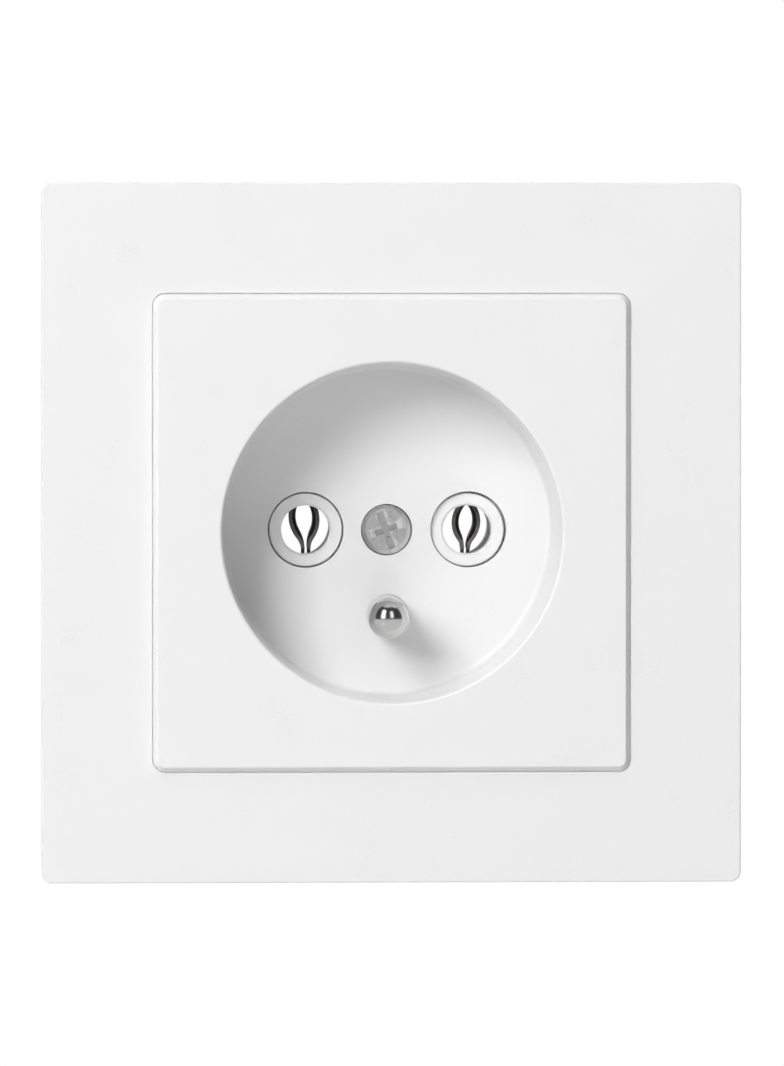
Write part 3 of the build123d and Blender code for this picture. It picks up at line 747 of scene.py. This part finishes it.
@dataclass
class CoverScrew:
    """The screw in the middle of the recess: a pan head with a slot and a cross, and its thread."""

    head: float = 2.93
    head_height: float = 1.9
    head_steps: int = 96
    inner_ring: float = 0.4
    chamfer_width: float = 0.5
    chamfer_depth: float = 0.32
    draft: float = 0.03
    broken_edge: float = 0.06
    shank: float = 1.48
    core: float = 1.22
    plain: float = 1.0
    drive_slot: float = 0.85
    drive_reach: float = 2.3
    drive_depth: float = 1.0
    cross_reach: float = 1.62
    cross_depth: float = 1.6
    cross_taper: float = 0.55
    cutter_rise: float = 1.0
    turn: float = 19.0
    pitch: float = 0.5
    thread_root: float = 0.42
    thread_crest: float = 0.2
    thread_sink: float = 0.02
    thread_steps: int = 20

    def head_and_core(self, top: float, end: float) -> Shape:
        """The head and the core under the thread.

        Args:
            top: the head's top.
            end: the end of the screw.

        Returns:
            The shape.
        """
        seat = top + self.head_height
        flat = self.head - self.chamfer_width
        shape = Shape()
        shape.turned([
            (0.0, top), (flat * self.inner_ring, top), (flat, top),
            (self.head - self.draft, top + self.chamfer_depth), (self.head, seat), (self.shank, seat),
            (self.shank, seat + self.plain), (self.core, seat + self.plain), (self.core, end - self.core / 2),
            (self.core / 2, end), (0.0, end),
        ], self.head_steps)
        return shape

    def cutter(self, top: float) -> Shape:
        """The tool that sinks the drive into the head.

        Args:
            top: the head's top.

        Returns:
            Its shape.
        """
        shape = Shape()
        half = self.drive_slot / 2
        above = top - self.cutter_rise
        shape.block((-half, half), (above, top + self.drive_depth), (-self.drive_reach, self.drive_reach))
        for x, z in ((self.cross_reach, half), (half, self.cross_reach)):
            before = set(shape.mesh.verts)
            shape.block((-x, x), (above, top + self.cross_depth), (-z, z))
            made = [vert for vert in shape.mesh.verts if vert not in before and vert.co.y > top]
            bmesh.ops.scale(shape.mesh, vec=(self.cross_taper, 1, self.cross_taper), verts=made)
        turn = Matrix.Rotation(math.radians(-self.turn), 3, "Y")
        bmesh.ops.rotate(shape.mesh, verts=shape.mesh.verts, cent=(0, 0, 0), matrix=turn)
        return shape

    def thread(self, shape: Shape, start: float, end: float) -> None:
        """Wind the thread round the core.

        Args:
            shape: the shape to add it to.
            start: where it starts.
            end: where it ends.
        """
        mesh = shape.mesh
        half = self.pitch * self.thread_root
        crest = half * self.thread_crest
        inner = self.core - self.thread_sink
        corners = [
            (inner, start - half), (self.shank, start - crest), (self.shank, start + crest), (inner, start + half),
        ]
        verts = [mesh.verts.new((r, y, 0)) for r, y in corners]
        face = mesh.faces.new(verts)
        turns = (end - start) / self.pitch
        steps = round(turns * self.thread_steps)
        bmesh.ops.spin(
            mesh, geom=[face, *face.edges, *face.verts], cent=(0, 0, 0), axis=(0, 1, 0),
            dvec=(0, (end - start) / steps, 0), angle=math.tau * turns, steps=steps,
        )

    def build(self) -> bpy.types.Object:
        """Build the screw, cut its drive and wind its thread.

        Returns:
            The piece.
        """
        low, high = box_mm("cover_screw")
        seat = low.y + self.head_height
        blank = loose_object("screw_blank", self.head_and_core(low.y, high.y).to_mesh("screw_blank"))
        tool = loose_object("drive_cutter", self.cutter(low.y).to_mesh("drive_cutter"))
        cut = blank.modifiers.new("drive", "BOOLEAN")
        cut.operation, cut.solver, cut.object, cut.use_self = "DIFFERENCE", "EXACT", tool, True
        graph = bpy.context.evaluated_depsgraph_get()
        shape = Shape()
        shape.mesh.from_mesh(bpy.data.meshes.new_from_object(blank.evaluated_get(graph)))
        bmesh.ops.scale(shape.mesh, vec=(1 / MM,) * 3, verts=shape.mesh.verts)
        for used in (blank, tool):
            bpy.data.objects.remove(used)
        self.thread(shape, seat + self.plain + self.pitch, high.y - self.pitch - self.core / 2)
        data = shape.to_mesh("cover_screw_cut", smooth_below=0.0)
        return show(
            "cover_screw_cut", data, SCREW_STEEL.material("_cover"), "screw_steel", "cover_screw",
            bevel=self.broken_edge, bevel_steps=1,
        )


@dataclass
class LineContact:
    """One line contact: two sprung leaves on legs, and a foot that runs into the terminal."""

    side: Side
    tip: Point
    wide: Point
    shift: float = 0.0
    lean: float = 0.0
    skew: float = 0.03
    sheet: float = 0.45
    foot_gap: float = 0.12
    foot_z: float = -2.4
    flare: float = 0.45
    flare_length: float = 1.8
    flare_power: float = 1.6
    flare_steps: int = 6
    set_back: float = 0.15
    leaf_end: float = 19.0
    steps: int = 14
    centre: float = 9.5
    leg_depth: float = 2.0
    leg_width: float = 2.4
    leg_overlap: float = 0.2
    leg_tail: float = 0.4
    foot_top: float = -6.3
    foot_thickness: float = 0.9
    foot_reach: float = 4.5
    tongue: float = 4.8
    sink: float = 0.01
    broken_edge: float = 0.05

    def leaf_path(self, spread: float) -> list[Point]:
        """The inner line of a leaf across the contact, from its tip to its foot.

        Args:
            spread: how far the leaf is opened here.

        Returns:
            X and Z of its points.
        """
        narrowing, rise = self.wide[0] - self.tip[0], self.tip[1] - self.wide[1]
        bow_r = (narrowing**2 + rise**2) / (2 * narrowing)
        widest = self.wide[0] + spread
        bulge, drop = widest - self.foot_gap, self.wide[1] - self.foot_z
        sway_r = (bulge**2 + drop**2) / (2 * bulge) - bow_r
        bow = (widest - bow_r, self.wide[1])
        sway = (self.foot_gap + sway_r, self.foot_z)
        tip_turn = math.degrees(math.atan2(rise, bow_r - narrowing))
        join_turn = math.degrees(math.atan2(sway[1] - bow[1], sway[0] - bow[0]))
        upper = arc(bow, bow_r, tip_turn, join_turn, self.steps)
        lower = arc(sway, sway_r, 180 + join_turn, 180, self.steps)
        return upper + lower[1:]

    def leaf(self, shape: Shape, front: float, end: float) -> None:
        """Add one leaf: a bowed strip whose front end flares open.

        Args:
            shape: the shape to add it to.
            front: the depth of its front edge.
            end: the depth of its rear edge.
        """
        mesh = shape.mesh
        before = set(mesh.faces)
        rows = []
        for index in range(self.flare_steps + 1):
            share = 1 - index / self.flare_steps
            spread = self.flare * share**self.flare_power
            depth = front + self.flare_length * (1 - share)
            rows.append([(x, depth, z) for x, z in self.leaf_path(spread)])
        rows.append([(x, end, z) for x, z in self.leaf_path(0.0)])
        edges = []
        for row in rows:
            verts = [mesh.verts.new(place) for place in row]
            edges.append([mesh.edges.new(pair) for pair in zip(verts, verts[1:])])
        for first, second in zip(edges, edges[1:]):
            bmesh.ops.bridge_loops(mesh, edges=first + second)
        faces = [face for face in mesh.faces if face not in before]
        bmesh.ops.recalc_face_normals(mesh, faces=faces)
        inward = sum(face.normal.x for face in faces) < 0
        bmesh.ops.solidify(mesh, geom=faces, thickness=self.sheet if inward else -self.sheet)

    def build(self) -> bpy.types.Object:
        """Build the contact, mirroring its leaf.

        Returns:
            The piece.
        """
        node = "contact_" + self.side.name.lower()
        low, high = box_mm(node)
        shape = Shape()
        self.leaf(shape, low.y + self.set_back, self.leaf_end)
        leg_front = low.y + self.leg_depth
        leg_back = leg_front + self.leg_width
        leg = (self.foot_gap + self.sink, self.foot_gap + self.sheet - self.sink)
        shape.block(leg, (leg_front, leg_back), (self.foot_z + self.leg_overlap, self.foot_top - self.leg_tail))
        geom = [*shape.mesh.verts, *shape.mesh.edges, *shape.mesh.faces]
        bmesh.ops.mirror(shape.mesh, geom=geom, axis="X", merge_dist=-1)
        for vert in shape.mesh.verts:
            height = max(0.0, (vert.co.z - self.foot_z) / (self.tip[1] - self.foot_z))
            vert.co.x += self.shift + self.lean * height + self.skew * (vert.co.y - low.y)
        sign = self.side.value
        foot_low = self.foot_top - self.foot_thickness
        far = sign * (self.foot_reach + self.tongue / 2)
        near = self.shift + self.skew * self.leg_depth - sign * (self.foot_gap + self.sheet)
        shape.block(
            (near, far - sign * self.sink), (leg_front + self.sink, leg_back),
            (self.foot_top - self.sink, foot_low + self.sink),
        )
        shape.block((sign * (self.foot_reach - self.tongue / 2), far), (leg_front, high.y), (self.foot_top, foot_low))
        bmesh.ops.translate(shape.mesh, vec=(sign * self.centre, 0, 0), verts=shape.mesh.verts)
        data = shape.to_mesh(node + "_spring")
        # The leaves take the darkened bronze, which paints their shade deep in the bores.
        return show(
            node + "_spring", data, SHADE_DARKENED_CONTACT_BRONZE.material("_" + self.side.name.lower()), "contact_bronze", node,
            bevel=self.broken_edge,
        )


@dataclass
class EarthPin:
    """The earth pin: a polished round nose, a shoulder, a flange and a riveted tail."""

    radius: float = 2.4
    neck: float = 2.1
    neck_start: float = 6.0
    seat: float = 10.0
    flange: float = 3.4
    bar_front: float = 11.4
    rivet: float = 1.9
    bar_back: float = 12.4
    rivet_head: float = 2.8
    rivet_taper: float = 0.7
    z: float = -10.0
    shift: float = 0.08
    lean_start: float = 4.4
    lean: float = 0.031
    steps: int = 96
    dome_steps: int = 24

    def build(self) -> bpy.types.Object:
        """Build the pin by turning its profile, and lean its nose a little to the left.

        Returns:
            The piece.
        """
        low, high = box_mm("earth_pin")
        nose = low.y + self.radius
        dome = arc((0.0, nose), self.radius, 270, 360, self.dome_steps)
        shape = Shape()
        shape.turned([
            (0.0, dome[0][1]), *dome[1:],
            (self.radius, self.neck_start), (self.neck, self.neck_start), (self.neck, self.seat),
            (self.flange, self.seat), (self.flange, self.bar_front), (self.rivet, self.bar_front),
            (self.rivet, self.bar_back), (self.rivet_head, self.bar_back),
            (self.rivet_head * self.rivet_taper, high.y), (0.0, high.y),
        ], self.steps, self.z)
        for vert in shape.mesh.verts:
            vert.co.x += self.shift + self.lean * min(0.0, vert.co.y - self.lean_start)
        data = shape.to_mesh("earth_pin_turned")
        return show("earth_pin_turned", data, PIN_NICKEL.material("_nose"), "pin_nickel", "earth_pin")


@dataclass
class Insert:
    """The insert behind the covers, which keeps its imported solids."""

    finishes: dict[str, Finish] = field(default_factory=lambda: {
        "insert_body": INSERT_PLASTIC,
        "back_cover": INSERT_PLASTIC,
        "mounting_strap": STRAP_STEEL,
        "strap_rivets": RIVET_STEEL,
        "back_cover_screws": SCREW_STEEL,
        "thread_bush": TERMINAL_BRASS,
        "earth_bar": TERMINAL_BRASS,
        "terminal_cage_left": TERMINAL_BRASS,
        "terminal_cage_right": TERMINAL_BRASS,
        "terminal_cage_earth": TERMINAL_BRASS,
        "terminal_screws": SCREW_STEEL,
        "clamp_pad_left": SCREW_STEEL,
        "clamp_pad_right": SCREW_STEEL,
        "clamp_pad_earth": SCREW_STEEL,
    })

    def dress(self) -> None:
        """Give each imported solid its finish."""
        made: dict[str, bpy.types.Material] = {}
        for node, finish in self.finishes.items():
            if finish.name not in made:
                made[finish.name] = finish.material()
            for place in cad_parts[node].material_slots:
                place.material = made[finish.name]
            log.info("%s: packed solid in %s", node, finish.name)


# Studio


@dataclass(frozen=True)
class Softbox:
    """A rectangular lamp that faces the middle of the frame's face.

    Attributes:
        name: the lamp's name.
        azimuth: degrees to the right of the frame's normal, as seen from the room.
        elevation: degrees above it.
        distance: metres from the frame.
        width: metres.
        height: metres.
        power: watts.
        mirrored: whether shiny surfaces show it.
    """

    name: str
    azimuth: float
    elevation: float
    distance: float
    width: float
    height: float
    power: float
    mirrored: bool = True

    def build(self) -> None:
        """Hang the lamp."""
        lamp = bpy.data.lights.new(self.name, "AREA")
        lamp.shape, lamp.size, lamp.size_y, lamp.energy = "RECTANGLE", self.width, self.height, self.power
        holder = bpy.data.objects.new(self.name, lamp)
        bpy.context.scene.collection.objects.link(holder)
        out = outward(self.azimuth, self.elevation)
        holder.location = out * self.distance
        holder.rotation_euler = (-out).to_track_quat("-Z", "Y").to_euler()
        holder.visible_glossy = self.mirrored


def outward(azimuth: float, elevation: float) -> Vector:
    """The direction into the room at an angle to the right and up.

    Args:
        azimuth: degrees to the right.
        elevation: degrees up.

    Returns:
        A direction of length 1.
    """
    turn, lift = math.radians(azimuth), math.radians(elevation)
    return Vector((math.sin(turn) * math.cos(lift), -math.cos(turn) * math.cos(lift), math.sin(lift)))


@dataclass(frozen=True)
class GlossCard:
    """A glowing card round the socket that only shiny surfaces see: a painted reflection, which lights nothing.

    Attributes:
        name: the card's name.
        azimuths: its left and right edges, in degrees.
        elevations: its lower and upper edges, in degrees.
        distance: metres from the earth pin's nose.
        brightness: how bright it looks in a mirror, where 1 is white.
        steps: the number of its parts each way.
    """

    name: str
    azimuths: Point
    elevations: Point
    distance: float
    brightness: float
    steps: int = 24

    def build(self) -> None:
        """Bend a grid to the card's part of a sphere and hide it from all but glossy rays."""
        low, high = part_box("earth_pin")
        nose = Vector(((low.x + high.x) / 2, low.y, (low.z + high.z) / 2))
        mesh = bmesh.new()
        bmesh.ops.create_grid(mesh, x_segments=self.steps, y_segments=self.steps, size=0.5)
        for vert in mesh.verts:
            azimuth = self.azimuths[0] + (vert.co.x + 0.5) * (self.azimuths[1] - self.azimuths[0])
            elevation = self.elevations[0] + (vert.co.y + 0.5) * (self.elevations[1] - self.elevations[0])
            vert.co = nose + outward(azimuth, elevation) * self.distance
        data = bpy.data.meshes.new(self.name)
        mesh.to_mesh(data)
        mesh.free()
        card = loose_object(self.name, data)
        paint = bpy.data.materials.new(self.name + "_paint")
        paint.use_nodes = True
        wiring = Wiring(paint.node_tree)
        glow = wiring.add("ShaderNodeEmission", {"Color": WHITE, "Strength": self.brightness})
        wiring.add("ShaderNodeOutputMaterial", {"Surface": glow.outputs[0]})
        data.materials.append(paint)
        card.visible_camera = card.visible_diffuse = card.visible_shadow = False
        card.visible_transmission = card.visible_volume_scatter = False


@dataclass
class Studio:
    """The lamps, the white room, the floor and the camera."""

    softboxes: tuple[Softbox, ...] = (
        Softbox("key_softbox", -28.0, 23.0, 1.05, 0.38, 0.45, 7.2, mirrored=False),
        Softbox("front_softbox", 12.0, 8.0, 1.5, 0.5, 0.6, 1.7, mirrored=False),
        Softbox("top_softbox", -10.0, 70.0, 1.5, 1.0, 1.0, 7.9, mirrored=False),
        Softbox("left_softbox", -65.0, 10.0, 1.5, 1.0, 1.0, 3.5, mirrored=False),
        Softbox("low_softbox", 0.0, -35.0, 0.9, 0.6, 0.5, 1.2, mirrored=False),
        Softbox("rear_softbox", 152.0, 14.0, 1.5, 1.0, 1.0, 14.0),
        Softbox("rear_fill", -150.0, -10.0, 1.5, 1.0, 1.0, 7.0, mirrored=False),
    )
    # Painted reflections: dark and white glowing cards that shiny surfaces mirror but that light nothing; table_glint
    # paints a small glint.
    gloss_cards: tuple[GlossCard, ...] = (
        GlossCard("dark_surround", (-81.0, 81.0), (-2.5, 66.0), 1.8, 0.045),
        GlossCard("left_card", (-41.0, -17.0), (2.0, 49.0), 1.7, 2.0),
        GlossCard("right_card", (13.0, 30.0), (5.0, 41.0), 1.7, 1.35),
        GlossCard("corner_card", (58.0, 80.0), (54.0, 66.0), 1.7, 1.05),
        GlossCard("ceiling_card", (-180.0, 180.0), (66.0, 89.0), 1.9, 0.69),
        GlossCard("table_card", (-180.0, 180.0), (-88.0, -2.5), 0.5, 0.69),
        GlossCard("table_glint", (-35.0, -25.0), (-31.0, -23.0), 0.48, 1.25),
    )
    ambient: float = 0.02
    floor_height: float = -0.6
    floor_size: float = 6.0
    floor_colour: Colour = (0.82, 0.82, 0.82)
    floor_white: float = 0.9
    camera_azimuth: float = -2.5
    camera_elevation: float = 1.5
    camera_distance: float = 1.05
    seen_width: float = 90.72
    sensor: float = 36.0

    @staticmethod
    def seen(wiring: Wiring) -> bpy.types.NodeSocket:
        """Tell what the camera, metal or glass sees from what only gives light.

        Args:
            wiring: the tree of a material or of the world.

        Returns:
            A socket that is 1 where it is seen.
        """
        path = wiring.add("ShaderNodeLightPath").outputs
        seen = wiring.math("MAXIMUM", path["Is Camera Ray"], path["Is Glossy Ray"])
        return wiring.math("MAXIMUM", seen, path["Is Transmission Ray"])

    def room(self) -> None:
        """Make the world white where it is seen, and nearly dark as a light."""
        world = bpy.data.worlds.new("white_room")
        world.use_nodes = True
        bpy.context.scene.world = world
        wiring = Wiring(world.node_tree)
        strength = wiring.math("MULTIPLY_ADD", self.seen(wiring), 1.0 - self.ambient, self.ambient)
        back = wiring.add("ShaderNodeBackground", {"Color": WHITE, "Strength": strength})
        wiring.add("ShaderNodeOutputWorld", {"Surface": back.outputs[0]})

    def floor(self) -> None:
        """Lay a plain pale floor under the socket, which is nearly as white as the room where it is seen."""
        mesh = bmesh.new()
        place = Matrix.Translation((0, 0, self.floor_height))
        bmesh.ops.create_grid(mesh, x_segments=1, y_segments=1, size=self.floor_size / 2, matrix=place)
        data = bpy.data.meshes.new("studio_floor")
        mesh.to_mesh(data)
        mesh.free()
        floor = loose_object("studio_floor", data)
        paint = bpy.data.materials.new("floor_paint")
        paint.use_nodes = True
        wiring = Wiring(paint.node_tree)
        diffuse = wiring.add("ShaderNodeBsdfDiffuse", {"Color": (*self.floor_colour, 1.0)})
        white = wiring.add("ShaderNodeEmission", {"Color": WHITE, "Strength": 1.0})
        share = wiring.math("MULTIPLY", self.seen(wiring), self.floor_white)
        mixed = wiring.add("ShaderNodeMixShader", {0: share, 1: diffuse.outputs[0], 2: white.outputs[0]})
        wiring.add("ShaderNodeOutputMaterial", {"Surface": mixed.outputs[0]})
        data.materials.append(paint)

    def camera(self) -> None:
        """Place the camera in front of the frame's face, a little to the left and above."""
        face = Vector((0.0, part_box("cover_frame")[0].y, 0.0))
        out = outward(self.camera_azimuth, self.camera_elevation)
        lens = bpy.data.cameras.new("camera")
        lens.sensor_fit, lens.sensor_width = "HORIZONTAL", self.sensor
        lens.lens = self.sensor * self.camera_distance / (self.seen_width * MM)
        holder = bpy.data.objects.new("camera", lens)
        bpy.context.scene.collection.objects.link(holder)
        holder.location = face + out * self.camera_distance
        holder.rotation_euler = (-out).to_track_quat("-Z", "Y").to_euler()
        bpy.context.scene.camera = holder

    def build(self) -> None:
        """Set the studio up."""
        bpy.context.scene.view_settings.view_transform = "Standard"
        self.room()
        self.floor()
        self.camera()
        for piece in self.softboxes + self.gloss_cards:
            piece.build()


def main() -> None:
    """Build the studio and every sub-assembly of the socket."""
    logging.basicConfig(level=logging.INFO, format="%(name)s %(message)s")
    Studio().build()
    CoverFrame().build()
    CentrePlate().build()
    CoverScrew().build()
    LineContact(Side.LEFT, tip=(0.66, 2.75), wide=(0.97, 1.3), shift=0.16, lean=-0.3).build()
    LineContact(Side.RIGHT, tip=(0.06, 2.8), wide=(0.84, 0.8), shift=-0.06, lean=0.16, skew=0.04).build()
    EarthPin().build()
    Insert().dress()


if __name__ == "__main__":
    main()
